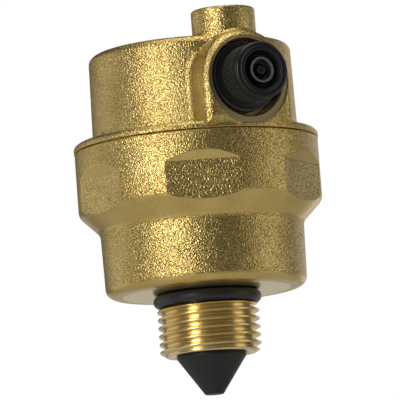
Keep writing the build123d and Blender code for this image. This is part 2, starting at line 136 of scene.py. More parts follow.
def makeCamera(values):
    data = bpy.data.cameras.new("viewCamera")
    camera = bpy.data.objects.new("viewCamera", data)
    bpy.context.scene.collection.objects.link(camera)
    back = directionOf(values["azimuth"], values["elevation"])
    camera.location = Vector(values["target"]) + back * values["distance"]
    camera.rotation_mode = "QUATERNION"
    turn = (-back).to_track_quat("-Z", "Y")
    roll = Matrix.Rotation(math.radians(values["roll"]), 4, "Z").to_quaternion()
    camera.rotation_quaternion = turn @ roll
    data.lens = values["lens"]
    data.sensor_width = values["sensorWidth"]
    data.clip_start, data.clip_end = values["clip"]
    bpy.context.scene.camera = camera
    return camera


makeCamera(cameraSet)

lightSet = {
    # name: (turn from the camera in degrees, elevation, distance, width, height, watts)
    "keyLeft": (-37.0, 9.0, 0.70, 0.17, 0.50, 2.08),
    "sideLeft": (-112.0, 2.0, 0.80, 0.80, 0.80, 1.20),
    "fillRight": (82.0, 4.0, 0.80, 0.40, 0.70, 0.85),
    "overhead": (0.0, 80.0, 0.80, 0.70, 0.70, 3.20),
    "backRight": (150.0, 6.0, 0.90, 0.50, 0.70, 0.70),
    "backLow": (180.0, -9.0, 0.90, 0.70, 0.26, 0.26),
}
lampSet = {"aimRise": 4.0 * mm, "colour": (1.0, 0.985, 0.96)}


def makeLights(lights):
    target = Vector(cameraSet["target"]) + Vector((0, 0, lampSet["aimRise"]))
    for name, (turn, rise, distance, width, height, watts) in lights.items():
        data = bpy.data.lights.new(name, "AREA")
        data.shape = "RECTANGLE"
        data.size = width
        data.size_y = height
        data.energy = watts
        data.color = lampSet["colour"]
        lamp = bpy.data.objects.new(name, data)
        bpy.context.scene.collection.objects.link(lamp)
        away = directionOf(cameraSet["azimuth"] + turn, rise)
        lamp.location = target + away * distance
        lamp.rotation_mode = "QUATERNION"
        lamp.rotation_quaternion = (-away).to_track_quat("-Z", "Y")


makeLights(lightSet)

worldSet = {
    "background": 1.0,
    "backgroundColour": (1.0, 1.0, 1.0, 1.0),
    "surround": 0.10,
    "surroundColour": (1.0, 0.99, 0.97, 1.0),
}


def makeWorld(values):
    world = bpy.data.worlds.new("studioWorld")
    bpy.context.scene.world = world
    world.use_nodes = True
    tree = world.node_tree
    tree.nodes.clear()
    out = addNode(tree, "ShaderNodeOutputWorld")
    seen = addNode(tree, "ShaderNodeBackground")
    setInputs(seen, Color=values["backgroundColour"], Strength=values["background"])
    surround = addNode(tree, "ShaderNodeBackground")
    setInputs(surround, Color=values["surroundColour"], Strength=values["surround"])
    path = addNode(tree, "ShaderNodeLightPath")
    mix = addNode(tree, "ShaderNodeMixShader")
    tree.links.new(path.outputs["Is Camera Ray"], mix.inputs[0])
    tree.links.new(surround.outputs[0], mix.inputs[1])
    tree.links.new(seen.outputs[0], mix.inputs[2])
    tree.links.new(mix.outputs[0], out.inputs[0])


makeWorld(worldSet)
bpy.context.scene.view_settings.view_transform = "Standard"

floorSet = {"height": -0.30, "half": 1.6, "colour": (0.86, 0.86, 0.85), "glow": 0.55}


def makeFloor(values):
    half = values["half"]
    mesh = bpy.data.meshes.new("studioFloor")
    corners = [(-half, -half), (half, -half), (half, half), (-half, half)]
    mesh.from_pydata([(x, y, values["height"]) for x, y in corners], [], [(0, 1, 2, 3)])
    floor = bpy.data.objects.new("studioFloor", mesh)
    bpy.context.scene.collection.objects.link(floor)
    material = bpy.data.materials.new("paleFloor")
    material.use_nodes = True
    tree = material.node_tree
    tree.nodes.clear()
    out = addNode(tree, "ShaderNodeOutputMaterial")
    matte = addNode(tree, "ShaderNodeBsdfDiffuse")
    matte.inputs["Color"].default_value = (*values["colour"], 1)
    glow = addNode(tree, "ShaderNodeEmission")
    glow.inputs["Color"].default_value = (*values["colour"], 1)
    seen = addNode(tree, "ShaderNodeLightPath")
    strength = mathNode(tree, "MULTIPLY", seen.outputs["Is Camera Ray"], values["glow"])
    tree.links.new(strength, glow.inputs["Strength"])
    lit = addNode(tree, "ShaderNodeAddShader")
    tree.links.new(matte.outputs[0], lit.inputs[0])
    tree.links.new(glow.outputs[0], lit.inputs[1])
    clear = addNode(tree, "ShaderNodeBsdfTransparent")
    side = addNode(tree, "ShaderNodeNewGeometry")
    mix = addNode(tree, "ShaderNodeMixShader")
    tree.links.new(side.outputs["Backfacing"], mix.inputs[0])
    tree.links.new(lit.outputs[0], mix.inputs[1])
    tree.links.new(clear.outputs[0], mix.inputs[2])
    tree.links.new(mix.outputs[0], out.inputs[0])
    mesh.materials.append(material)


makeFloor(floorSet)
print("camera, lights and floor ready")


def newGroup(name, inputs, outputs):
    group = bpy.data.node_groups.new(name, "ShaderNodeTree")
    for label, kind, value in inputs:
        socket = group.interface.new_socket(name=label, in_out="INPUT", socket_type=kind)
        if value is not None:
            socket.default_value = value
    for label, kind in outputs:
        group.interface.new_socket(name=label, in_out="OUTPUT", socket_type=kind)
    return group, addNode(group, "NodeGroupInput"), addNode(group, "NodeGroupOutput")


grainShape = {
    "toothDetail": 1.0,
    "toothRoughness": 0.5,
    "speckleDetail": 1.0,
    "speckleRoughness": 0.6,
    "speckleScale": 1.15,   # against the tooth
    "craterScale": 0.8,
    "craterPower": 2.0,
    "patchScale": 170.0,    # broad tone patches, per metre
    "patchDetail": 3.0,
}


def makeGrainGroup(values):
    # Shot-blasted skin: small craters with a finer tooth between them
    group, inside, outside = newGroup(
        "pebbleGrain",
        [("Grain Size", "NodeSocketFloat", 0.0003), ("Pit Amount", "NodeSocketFloat", 0.3)],
        [(label, "NodeSocketFloat") for label in ("Height", "Speckle", "Patch")],
    )
    coords = addNode(group, "ShaderNodeTexCoord")
    scale = mathNode(group, "DIVIDE", 1.0, inside.outputs["Grain Size"])
    tooth = addNode(group, "ShaderNodeTexNoise")
    setInputs(tooth, Detail=values["toothDetail"], Roughness=values["toothRoughness"])
    group.links.new(coords.outputs["Object"], tooth.inputs["Vector"])
    group.links.new(scale, tooth.inputs["Scale"])
    speckle = addNode(group, "ShaderNodeTexNoise")
    setInputs(speckle, Detail=values["speckleDetail"], Roughness=values["speckleRoughness"])
    group.links.new(coords.outputs["Object"], speckle.inputs["Vector"])
    speckleScale = mathNode(group, "MULTIPLY", scale, values["speckleScale"])
    group.links.new(speckleScale, speckle.inputs["Scale"])
    cells = addNode(group, "ShaderNodeTexVoronoi", feature="F1")
    group.links.new(coords.outputs["Object"], cells.inputs["Vector"])
    craterScale = mathNode(group, "MULTIPLY", scale, values["craterScale"])
    group.links.new(craterScale, cells.inputs["Scale"])
    crater = mathNode(group, "POWER", cells.outputs["Distance"], values["craterPower"])
    pits = mathNode(group, "MULTIPLY", crater, inside.outputs["Pit Amount"])
    height = mathNode(group, "ADD", tooth.outputs[0], pits)
    broad = addNode(group, "ShaderNodeTexNoise")
    setInputs(broad, Scale=values["patchScale"], Detail=values["patchDetail"])
    group.links.new(coords.outputs["Object"], broad.inputs["Vector"])
    group.links.new(height, outside.inputs["Height"])
    group.links.new(speckle.outputs[0], outside.inputs["Speckle"])
    group.links.new(broad.outputs[0], outside.inputs["Patch"])
    return group


def makeEdgeGroup():
    # Where edges are: the rounded normal leans away from the flat one
    group, inside, outside = newGroup(
        "roundedEdgeMask",
        [("Radius", "NodeSocketFloat", 0.0004), ("Gain", "NodeSocketFloat", 4.0)],
        [("Mask", "NodeSocketFloat"), ("Soft Normal", "NodeSocketVector")],
    )
    bevel = addNode(group, "ShaderNodeBevel", samples=6)
    group.links.new(inside.outputs["Radius"], bevel.inputs["Radius"])
    flat = addNode(group, "ShaderNodeNewGeometry")
    dot = addNode(group, "ShaderNodeVectorMath", operation="DOT_PRODUCT")
    group.links.new(bevel.outputs[0], dot.inputs[0])
    group.links.new(flat.outputs["Normal"], dot.inputs[1])
    lean = mathNode(group, "SUBTRACT", 1.0, dot.outputs["Value"])
    mask = mathNode(group, "MULTIPLY", lean, inside.outputs["Gain"], clamp=True)
    group.links.new(mask, outside.inputs["Mask"])
    group.links.new(bevel.outputs[0], outside.inputs["Soft Normal"])
    return group


def makeTurnedGroup():
    # Lathe marks: fine lines that follow whatever distance is fed in
    group, inside, outside = newGroup(
        "latheRings",
        [("Distance", "NodeSocketFloat", 0.0), ("Spacing", "NodeSocketFloat", 0.00018)],
        [("Height", "NodeSocketFloat")],
    )
    steps = mathNode(group, "DIVIDE", inside.outputs["Distance"], inside.outputs["Spacing"])
    line = addNode(group, "ShaderNodeTexNoise", noise_dimensions="1D")
    setInputs(line, Scale=1.0, Detail=2.0)
    group.links.new(steps, line.inputs["W"])
    group.links.new(line.outputs[0], outside.inputs["Height"])
    return group


grainGroup = makeGrainGroup(grainShape)
edgeGroup = makeEdgeGroup()
turnedGroup = makeTurnedGroup()


def placeGroup(tree, group, **values):
    node = addNode(tree, "ShaderNodeGroup")
    node.node_tree = group
    return setInputs(node, **values)


def placeGrain(tree, values):
    return placeGroup(tree, grainGroup, Grain_Size=values["grainSize"],
                      Pit_Amount=values["pitAmount"])


def placeEdge(tree, values):
    return placeGroup(tree, edgeGroup, Radius=values["edgeRadius"], Gain=values["edgeGain"])


def linkRoughness(tree, shader, mask, levels):
    tree.links.new(mixValue(tree, mask, *levels), shader.inputs["Roughness"])


def startMaterial(name):
    material = bpy.data.materials.new(name)
    material.use_nodes = True
    tree = material.node_tree
    tree.nodes.clear()
    out = addNode(tree, "ShaderNodeOutputMaterial", (900, 0))
    shader = addNode(tree, "ShaderNodeBsdfPrincipled", (600, 0))
    tree.links.new(shader.outputs[0], out.inputs[0])
    return material, tree, shader


brassSet = {
    "light": (0.84, 0.63, 0.235),
    "deep": (0.69, 0.49, 0.16),
    "machined": (0.84, 0.675, 0.35),
    "roughness": (0.25, 0.37),
    "machinedRoughness": 0.26,
    "markRoughness": 0.5,
    "grainSize": 0.23 * mm,
    "grainDepth": 0.088 * mm,
    "pitAmount": 0.6,
    "ringSpacing": 0.11 * mm,
    "ringShare": 0.05,                # lathe marks against the full grain
    "toneStops": (0.30, 0.70),        # where the deep tone ends and the light one starts
    "speckleStops": (0.38, 0.56),
    "speckleDark": 0.46,
    "smoothDark": 0.90,
    "edgeRadius": 0.26 * mm,
    "edgeGain": 9.0,
    "edgeDark": 0.30,
    "edgeBand": (12.0 * mm, 20.4 * mm),   # heights of the hexagon flats
    "mark": (0.22, 0.165, 0.09),
    "shoulderTop": 0.06 * mm,
    "portHeight": 32.0 * mm,
    "portRadius": 7.24 * mm,
    "portFront": 19.68 * mm,
    "portRear": 15.0 * mm,
}

# The blasted skin is smoother where the body slopes: bottom fillet, cone and hexagon ledges
skinSet = {"slope": 0.30, "fade": 0.10, "below": 23.0 * mm, "smoothShare": 0.22}


def objectAxes(tree):
    coords = addNode(tree, "ShaderNodeTexCoord")
    parts = addNode(tree, "ShaderNodeSeparateXYZ")
    tree.links.new(coords.outputs["Object"], parts.inputs[0])
    return parts.outputs[0], parts.outputs[1], parts.outputs[2]


def distanceFrom(tree, a, b):
    aa = mathNode(tree, "MULTIPLY", a, a)
    bb = mathNode(tree, "MULTIPLY", b, b)
    return mathNode(tree, "SQRT", mathNode(tree, "ADD", aa, bb))


def machinedZones(tree, values):
    # Turned on the lathe: the shoulder face and all below it, and the port's faced ring and recess
    across, along, height = objectAxes(tree)
    low = mathNode(tree, "LESS_THAN", height, values["shoulderTop"])
    rise = mathNode(tree, "SUBTRACT", height, values["portHeight"])
    fromPort = distanceFrom(tree, across, rise)
    inPort = mathNode(tree, "LESS_THAN", fromPort, values["portRadius"])
    behind = mathNode(tree, "GREATER_THAN", along, -values["portFront"])
    ahead = mathNode(tree, "LESS_THAN", along, -values["portRear"])
    port = mathNode(tree, "MULTIPLY", inPort, mathNode(tree, "MULTIPLY", behind, ahead))
    fromAxis = mathNode(tree, "ADD", distanceFrom(tree, across, along), height)
    path = mixValue(tree, port, fromAxis, mathNode(tree, "ADD", fromPort, along))
    return mathNode(tree, "MAXIMUM", low, port), path


def skinShare(tree, values):
    # Share of the full grain: one on upright walls, less where the surface slopes up or down
    across, along, height = objectAxes(tree)
    surface = addNode(tree, "ShaderNodeNewGeometry")
    parts = addNode(tree, "ShaderNodeSeparateXYZ")
    tree.links.new(surface.outputs["True Normal"], parts.inputs[0])
    slope = mathNode(tree, "ABSOLUTE", parts.outputs[2])
    over = mathNode(tree, "SUBTRACT", slope, values["slope"])
    sloped = mathNode(tree, "DIVIDE", over, values["fade"], clamp=True)
    low = mathNode(tree, "LESS_THAN", height, values["below"])
    slopedLow = mathNode(tree, "MULTIPLY", sloped, low)
    calm = mathNode(tree, "MULTIPLY", slopedLow, 1.0 - values["smoothShare"])
    return mathNode(tree, "SUBTRACT", 1.0, calm)


# Small pits and burnt specks left by forging
markSet = {
    "seed": 8,
    "count": 18,
    "radius": (0.16 * mm, 0.42 * mm),
    "heights": (3.0 * mm, 39.0 * mm),
    "startAway": 100.0 * mm,   # where each drop towards the wall starts
    "raggedScale": 4200.0,
    "raggedDetail": 2.0,
    "wander": 1.3 * mm,
    "wanderMiddle": 0.62 * mm,
    "rimFade": 0.12 * mm,
}


def scatterMarks(values):
    # Each mark drops onto the forgings' outer wall from a random side and height
    draw = random.Random(values["seed"])
    points, faces = [], []
    for name in ("body", "cover"):
        mesh = nodes[name].data
        first = len(points)
        faces += [[first + index for index in polygon.vertices] for polygon in mesh.polygons]
        points += [vertex.co.copy() for vertex in mesh.vertices]
    wall = BVHTree.FromPolygons(points, faces)
    marks = []
    for _ in range(values["count"]):
        angle = draw.uniform(0.0, 2 * math.pi)
        level = draw.uniform(*values["heights"])
        side = Vector((math.cos(angle), math.sin(angle), 0.0))
        start = side * values["startAway"] + Vector((0, 0, level))
        place = wall.ray_cast(start, -side)[0]
        marks.append((place, draw.uniform(*values["radius"])))
    return marks


def spotMask(tree, values):
    # One where a mark is, with a ragged rim
    coords = addNode(tree, "ShaderNodeTexCoord")
    ragged = addNode(tree, "ShaderNodeTexNoise")
    setInputs(ragged, Scale=values["raggedScale"], Detail=values["raggedDetail"])
    tree.links.new(coords.outputs["Object"], ragged.inputs["Vector"])
    wander = mathNode(tree, "MULTIPLY", ragged.outputs[0], values["wander"])
    total = None
    for place, radius in scatterMarks(values):
        away = addNode(tree, "ShaderNodeVectorMath", operation="DISTANCE")
        tree.links.new(coords.outputs["Object"], away.inputs[0])
        away.inputs[1].default_value = place
        reach = mathNode(tree, "ADD", away.outputs["Value"], wander)
        inside = mathNode(tree, "SUBTRACT", radius + values["wanderMiddle"], reach)
        mask = mathNode(tree, "DIVIDE", inside, values["rimFade"], clamp=True)
        total = mask if total is None else mathNode(tree, "MAXIMUM", total, mask)
    return total


def makeForgedBrass(name, values):
    material, tree, shader = startMaterial(name)
    grain = placeGrain(tree, values)
    edge = placeEdge(tree, values)
    machined, path = machinedZones(tree, values)
    rings = placeGroup(tree, turnedGroup, Spacing=values["ringSpacing"])
    tree.links.new(path, rings.inputs["Distance"])
    share = skinShare(tree, skinSet)
    deepEnd, lightStart = values["toneStops"]
    tone = rampNode(tree, grain.outputs["Patch"], [(deepEnd, 0.0), (lightStart, 1.0)])
    forged = mixColour(tree, tone, values["deep"], values["light"])
    darkEnd, plainStart = values["speckleStops"]
    speckStops = [(darkEnd, values["speckleDark"]), (plainStart, 1.0)]
    speck = rampNode(tree, grain.outputs["Speckle"], speckStops)
    calm = mixColour(tree, 1.0, forged, (values["smoothDark"],) * 3, "MULTIPLY")
    rugged = mixColour(tree, 1.0, forged, speck, "MULTIPLY")
    speckled = mixColour(tree, share, calm, rugged)
    # Inside the hexagon band rounded edges are darkened to edgeDark times the forged tone; outside
    # it they take the light brass tone
    bandLow, bandHigh = values["edgeBand"]
    inBand = mathNode(tree, "COMPARE", objectAxes(tree)[2], (bandLow + bandHigh) / 2)
    inBand.node.inputs[2].default_value = (bandHigh - bandLow) / 2
    bandEdgeDarkened = mixColour(tree, 1.0, forged, (values["edgeDark"],) * 3, "MULTIPLY")
    edgeColour = mixColour(tree, inBand, values["light"], bandEdgeDarkened)
    speckled = mixColour(tree, edge.outputs["Mask"], speckled, edgeColour)
    colour = mixColour(tree, machined, speckled, values["machined"])
    spots = spotMask(tree, markSet)
    colour = mixColour(tree, spots, colour, values["mark"])
    tree.links.new(colour, shader.inputs["Base Color"])
    low, high = values["roughness"]
    rough = mixValue(tree, grain.outputs["Speckle"], high, low)
    rough = mixValue(tree, machined, rough, values["machinedRoughness"])
    rough = mixValue(tree, spots, rough, values["markRoughness"])
    tree.links.new(rough, shader.inputs["Roughness"])
    shader.inputs["Metallic"].default_value = 1.0
    skin = mathNode(tree, "MULTIPLY", grain.outputs["Height"], share)
    turned = mathNode(tree, "MULTIPLY", rings.outputs["Height"], values["ringShare"])
    height = mixValue(tree, machined, skin, turned)
    bump = addNode(tree, "ShaderNodeBump")
    setInputs(bump, Strength=1.0, Distance=values["grainDepth"])
    tree.links.new(height, bump.inputs["Height"])
    tree.links.new(edge.outputs["Soft Normal"], bump.inputs["Normal"])
    tree.links.new(bump.outputs[0], shader.inputs["Normal"])
    return material


turnedSet = {
    "deep": brassSet["deep"],
    "light": brassSet["machined"],
    "roughness": (0.12, 0.24),
    "ringSpacing": 0.10 * mm,
    "ringDepth": 0.01 * mm,
    "ringStrength": 0.2,
    "portHeight": brassSet["portHeight"],
}


def makeTurnedBrass(name, values):
    material, tree, shader = startMaterial(name)
    across, along, height = objectAxes(tree)
    rings = placeGroup(tree, turnedGroup, Spacing=values["ringSpacing"])
    rise = mathNode(tree, "SUBTRACT", height, values["portHeight"])
    path = mathNode(tree, "ADD", distanceFrom(tree, across, rise), along)
    tree.links.new(path, rings.inputs["Distance"])
    colour = mixColour(tree, rings.outputs["Height"], values["deep"], values["light"])
    tree.links.new(colour, shader.inputs["Base Color"])
    linkRoughness(tree, shader, rings.outputs["Height"], values["roughness"])
    shader.inputs["Metallic"].default_value = 1.0
    bump = addNode(tree, "ShaderNodeBump")
    setInputs(bump, Strength=values["ringStrength"], Distance=values["ringDepth"])
    tree.links.new(rings.outputs["Height"], bump.inputs["Height"])
    tree.links.new(bump.outputs[0], shader.inputs["Normal"])
    return material


forgedBrass = makeForgedBrass("forgedBrass", brassSet)
turnedBrass = makeTurnedBrass("turnedBrass", turnedSet)


mouldedShape = {
    "pitAmount": 0.2,
    "edgeRadius": 0.12 * mm,
    "edgeGain": 5.0,
    "grainStrength": 0.4,
}

mouldedSet = {
    "blackPlastic": {
        "dark": (0.0055, 0.0055, 0.0062),
        "light": (0.0105, 0.0105, 0.0112),
        # Black plastic's edge colour is a painted highlight on its rims and edges, many times
        # paler than the plastic
        "wearAndHighlight": (0.085, 0.087, 0.085),
        "roughness": (0.15, 0.24),
        "grainSize": 0.25 * mm,
        "grainDepth": 0.01 * mm,
    },
    "conePlastic": {
        "dark": (0.0032, 0.0035, 0.0035),
        "light": (0.0075, 0.0082, 0.0078),
        "wearAndHighlight": (0.01525, 0.0163, 0.0157),
        "roughness": (0.42, 0.60),
        "grainSize": 0.35 * mm,
        "grainDepth": 0.02 * mm,
    },
    "sealRubber": {
        "dark": (0.010, 0.011, 0.013),
        "light": (0.020, 0.021, 0.024),
        "wearAndHighlight": (0.034, 0.0355, 0.040),
        "roughness": (0.36, 0.46),
        "grainSize": 0.30 * mm,
        "grainDepth": 0.01 * mm,
    },
    "floatPlastic": {
        "dark": (0.78, 0.78, 0.73),
        "light": (0.86, 0.86, 0.82),
        "wearAndHighlight": (1.0, 1.0, 1.0),
        "roughness": (0.38, 0.50),
        "grainSize": 0.50 * mm,
        "grainDepth": 0.01 * mm,
    },
    "leverPlastic": {
        "dark": (0.24, 0.25, 0.27),
        "light": (0.32, 0.33, 0.35),
        "wearAndHighlight": (0.484, 0.499, 0.529),
        "roughness": (0.40, 0.52),
        "grainSize": 0.40 * mm,
        "grainDepth": 0.01 * mm,
    },
}


def bumpFrom(tree, shader, grain, edge, values):
    # The grain's height, laid over rounded edges where an edge group is given
    bump = addNode(tree, "ShaderNodeBump")
    setInputs(bump, Strength=values["grainStrength"], Distance=values["grainDepth"])
    tree.links.new(grain.outputs["Height"], bump.inputs["Height"])
    if edge:
        tree.links.new(edge.outputs["Soft Normal"], bump.inputs["Normal"])
    tree.links.new(bump.outputs[0], shader.inputs["Normal"])


def makeMoulded(name, values):
    material, tree, shader = startMaterial(name)
    grain = placeGrain(tree, values)
    edge = placeEdge(tree, values)
    colour = mixColour(tree, grain.outputs["Patch"], values["dark"], values["light"])
    # Rounded edges take the paler edge colour; on the black plastic this is a painted highlight
    colour = mixColour(tree, edge.outputs["Mask"], colour, values["wearAndHighlight"])
    tree.links.new(colour, shader.inputs["Base Color"])
    linkRoughness(tree, shader, grain.outputs["Speckle"], values["roughness"])
    bumpFrom(tree, shader, grain, edge, values)
    return material


steelSet = {
    "dark": (0.50, 0.50, 0.49),
    "light": (0.66, 0.66, 0.64),
    "roughness": (0.22, 0.38),
    "grainSize": 0.20 * mm,
    "grainDepth": 0.01 * mm,
    "grainStrength": 0.3,
    "pitAmount": 0.1,
}


def makeSteel(name, values):
    material, tree, shader = startMaterial(name)
    grain = placeGrain(tree, values)
    colour = mixColour(tree, grain.outputs["Patch"], values["dark"], values["light"])
    tree.links.new(colour, shader.inputs["Base Color"])
    linkRoughness(tree, shader, grain.outputs["Speckle"], values["roughness"])
    shader.inputs["Metallic"].default_value = 1.0
    bumpFrom(tree, shader, grain, None, values)
    return material


moulded = {}
for mouldedName, mouldedValues in mouldedSet.items():
    moulded[mouldedName] = makeMoulded(mouldedName, {**mouldedShape, **mouldedValues})
springSteel = makeSteel("springSteel", steelSet)

capPlasticSet = {
    "dark": (0.0045, 0.0048, 0.0050),
    "light": (0.0085, 0.0090, 0.0090),
    # Painted highlight colour for rib crests, rims and edges
    "paintedLight": (0.11, 0.113, 0.105),
    # Painted shade colour for the rib grooves
    "groove": (0.001, 0.001, 0.001),
    "roughness": (0.27, 0.38),
    "shine": 0.42,
    "grainSize": 0.30 * mm,
    "grainDepth": 0.01 * mm,
    "grainStrength": 0.4,
    "pitAmount": 0.2,
    "edgeRadius": 0.10 * mm,
    "edgeGain": 4.0,
    "edgeHighlightShare": 0.5,
}


def makeCapPlastic(name, values):
    # The moulded black, with a painted highlight on the rib crests and painted shade in the
    # grooves
    material, tree, shader = startMaterial(name)
    grain = placeGrain(tree, values)
    edge = placeEdge(tree, values)
    paintedLight = addNode(tree, "ShaderNodeAttribute", attribute_name="paintedLight")
    crestHighlight = mathNode(tree, "MAXIMUM", paintedLight.outputs["Fac"], 0.0)
    below = mathNode(tree, "MULTIPLY", paintedLight.outputs["Fac"], -1.0)
    grooveShade = mathNode(tree, "MAXIMUM", below, 0.0)
    plain = mixColour(tree, grain.outputs["Patch"], values["dark"], values["light"])
    colour = mixColour(tree, crestHighlight, plain, values["paintedLight"])
    colour = mixColour(tree, grooveShade, colour, values["groove"])
    # Rounded edges take part of the painted highlight colour
    edgeHighlight = mathNode(tree, "MULTIPLY", edge.outputs["Mask"], values["edgeHighlightShare"])
    colour = mixColour(tree, edgeHighlight, colour, values["paintedLight"])
    tree.links.new(colour, shader.inputs["Base Color"])
    linkRoughness(tree, shader, grain.outputs["Speckle"], values["roughness"])
    shader.inputs["Specular IOR Level"].default_value = values["shine"]
    bumpFrom(tree, shader, grain, edge, values)
    return material


capPlastic = makeCapPlastic("capPlastic", capPlasticSet)

finishOf = {
    "blasted_brass": forgedBrass,
    "machined_brass": turnedBrass,
    "black_plastic": moulded["blackPlastic"],
    "seal_rubber": moulded["sealRubber"],
    "float_plastic": moulded["floatPlastic"],
    "lever_plastic": moulded["leverPlastic"],
    "spring_steel": springSteel,
}


def finishNodes():
    slots = {row["node"]: row["material_slot"] for row in frame["record"]["subparts"]}
    for name, node in nodes.items():
        material = moulded["conePlastic"] if name == "inlet_cone" else finishOf[slots[name]]
        node.data.materials.clear()
        node.data.materials.append(material)


finishNodes()
print("materials ready")


capSet = {
    "ribCount": 84,
    "ribDepth": 0.20 * mm,
    "knurlStart": 0.45 * mm,   # from the cap's back face
    "knurlEnd": 4.25 * mm,
    "fade": 0.22 * mm,
    "segments": 84 * 8,        # eight points to a rib
    "gripRows": 24,
    "edgeRound": 0.5 * mm,
    "smallRound": 0.15 * mm,
    "recessRadius": 3.2 * mm,
    "recessDepth": 1.05 * mm,
    "wallLean": 0.55 * mm,     # how far the recess wall leans in
    "footStep": (0.05 * mm, 0.04 * mm),
    "webBackDepth": 2.2 * mm,
    "hubHoleRadius": 2.16 * mm,
    "boreRadius": 3.26 * mm,
    "grooveInset": 0.35 * mm,
    "grooveDepth": 0.05 * mm,
    "grooveWidths": (0.06 * mm, 0.16 * mm, 0.22 * mm),   # outer wall, floor and inner wall
    "facingOut": 0.5,          # only faces turned at least this far outwards are ribbed
}


def lathe(name, rows, segments, place, outward):
    # Closed turned mesh: rows are (radius, distance) round an axis through place along outward
    mesh = bpy.data.meshes.new(name)
    work = bmesh.new()
    side = outward.orthogonal().normalized()
    up = outward.cross(side)
    rings = []
    for radius, along in rows:
        ring = []
        for index in range(segments):
            angle = 2 * math.pi * index / segments
            spoke = side * math.cos(angle) + up * math.sin(angle)
            ring.append(work.verts.new(place + outward * along + spoke * radius))
        rings.append(ring)
    for first, second in zip(rings, rings[1:] + rings[:1]):
        for index in range(segments):
            following = (index + 1) % segments
            work.faces.new((first[index], first[following], second[following], second[index]))
    bmesh.ops.recalc_face_normals(work, faces=work.faces)
    for face in work.faces:
        face.smooth = True
    work.to_mesh(mesh)
    work.free()
    piece = bpy.data.objects.new(name, mesh)
    bpy.context.scene.collection.objects.link(piece)
    return piece


def buildKnurlTree(facingOut):
    tree = bpy.data.node_groups.new("capKnurl", "GeometryNodeTree")
    face = tree.interface
    face.new_socket(name="Geometry", in_out="INPUT", socket_type="NodeSocketGeometry")
    for label in ("Rib Count", "Rib Depth", "Start", "End", "Fade", "Axis Height"):
        face.new_socket(name=label, in_out="INPUT", socket_type="NodeSocketFloat")
    face.new_socket(name="Material", in_out="INPUT", socket_type="NodeSocketMaterial")
    face.new_socket(name="Geometry", in_out="OUTPUT", socket_type="NodeSocketGeometry")
    inside = addNode(tree, "NodeGroupInput")
    outside = addNode(tree, "NodeGroupOutput")
    position = addNode(tree, "GeometryNodeInputPosition")
    parts = addNode(tree, "ShaderNodeSeparateXYZ")
    tree.links.new(position.outputs[0], parts.inputs[0])
    across = parts.outputs[0]
    rise = mathNode(tree, "SUBTRACT", parts.outputs[2], inside.outputs["Axis Height"])
    angle = mathNode(tree, "ARCTAN2", rise, across)
    wave = mathNode(tree, "COSINE", mathNode(tree, "MULTIPLY", angle, inside.outputs["Rib Count"]))
    valley = mathNode(tree, "MULTIPLY", mathNode(tree, "SUBTRACT", 1.0, wave), 0.5)
    outwardDistance = mathNode(tree, "MULTIPLY", parts.outputs[1], -1.0)
    fromStart = mathNode(tree, "SUBTRACT", outwardDistance, inside.outputs["Start"])
    fromEnd = mathNode(tree, "SUBTRACT", inside.outputs["End"], outwardDistance)
    riseIn = mathNode(tree, "DIVIDE", fromStart, inside.outputs["Fade"], clamp=True)
    riseOut = mathNode(tree, "DIVIDE", fromEnd, inside.outputs["Fade"], clamp=True)
    zone = mathNode(tree, "MULTIPLY", riseIn, riseOut)
    normal = addNode(tree, "GeometryNodeInputNormal")
    spoke = addNode(tree, "ShaderNodeCombineXYZ")
    tree.links.new(across, spoke.inputs[0])
    tree.links.new(rise, spoke.inputs[2])
    unit = addNode(tree, "ShaderNodeVectorMath", operation="NORMALIZE")
    tree.links.new(spoke.outputs[0], unit.inputs[0])
    facing = addNode(tree, "ShaderNodeVectorMath", operation="DOT_PRODUCT")
    tree.links.new(unit.outputs[0], facing.inputs[0])
    tree.links.new(normal.outputs[0], facing.inputs[1])
    outer = mathNode(tree, "GREATER_THAN", facing.outputs["Value"], facingOut)
    ribbed = mathNode(tree, "MULTIPLY", zone, outer)
    depth = mathNode(tree, "MULTIPLY", valley, inside.outputs["Rib Depth"])
    depth = mathNode(tree, "MULTIPLY", depth, ribbed)
    # The rib wave, stored for the material: painted highlight on crests, painted shade in grooves
    paintedLight = mathNode(tree, "MULTIPLY", wave, ribbed)
    store = addNode(tree, "GeometryNodeStoreNamedAttribute", data_type="FLOAT", domain="POINT")
    store.inputs["Name"].default_value = "paintedLight"
    tree.links.new(inside.outputs["Geometry"], store.inputs["Geometry"])
    tree.links.new(paintedLight, store.inputs["Value"])
    shift = addNode(tree, "ShaderNodeVectorMath", operation="SCALE")
    tree.links.new(unit.outputs[0], shift.inputs[0])
    tree.links.new(mathNode(tree, "MULTIPLY", depth, -1.0), shift.inputs["Scale"])
    place = addNode(tree, "GeometryNodeSetPosition")
    tree.links.new(store.outputs[0], place.inputs["Geometry"])
    tree.links.new(shift.outputs[0], place.inputs["Offset"])
    real = addNode(tree, "GeometryNodeRealizeInstances")
    tree.links.new(place.outputs[0], real.inputs[0])
    paint = addNode(tree, "GeometryNodeSetMaterial")
    tree.links.new(real.outputs[0], paint.inputs["Geometry"])
    tree.links.new(inside.outputs["Material"], paint.inputs["Material"])
    tree.links.new(paint.outputs[0], outside.inputs[0])
    return tree


def setModifierInput(modifier, label, value):
    for item in modifier.node_group.interface.items_tree:
        if item.item_type == "SOCKET" and item.in_out == "INPUT" and item.name == label:
            modifier[item.identifier] = value


def applyTree(piece, tree, **values):
    modifier = piece.modifiers.new(tree.name, "NODES")
    modifier.node_group = tree
    for label, value in values.items():
        setModifierInput(modifier, label.replace("_", " "), value)
    graph = bpy.context.evaluated_depsgraph_get()
    solid = bpy.data.meshes.new_from_object(piece.evaluated_get(graph), depsgraph=graph)
    piece.modifiers.remove(modifier)
    piece.data = solid
    return piece


def arcRows(centreRadius, centreAlong, radius, startDegrees, endDegrees, steps):
    rows = []
    for index in range(steps + 1):
        angle = math.radians(startDegrees + (endDegrees - startDegrees) * index / steps)
        out, up = radius * math.cos(angle), radius * math.sin(angle)
        rows.append((centreRadius + out, centreAlong + up))
    return rows


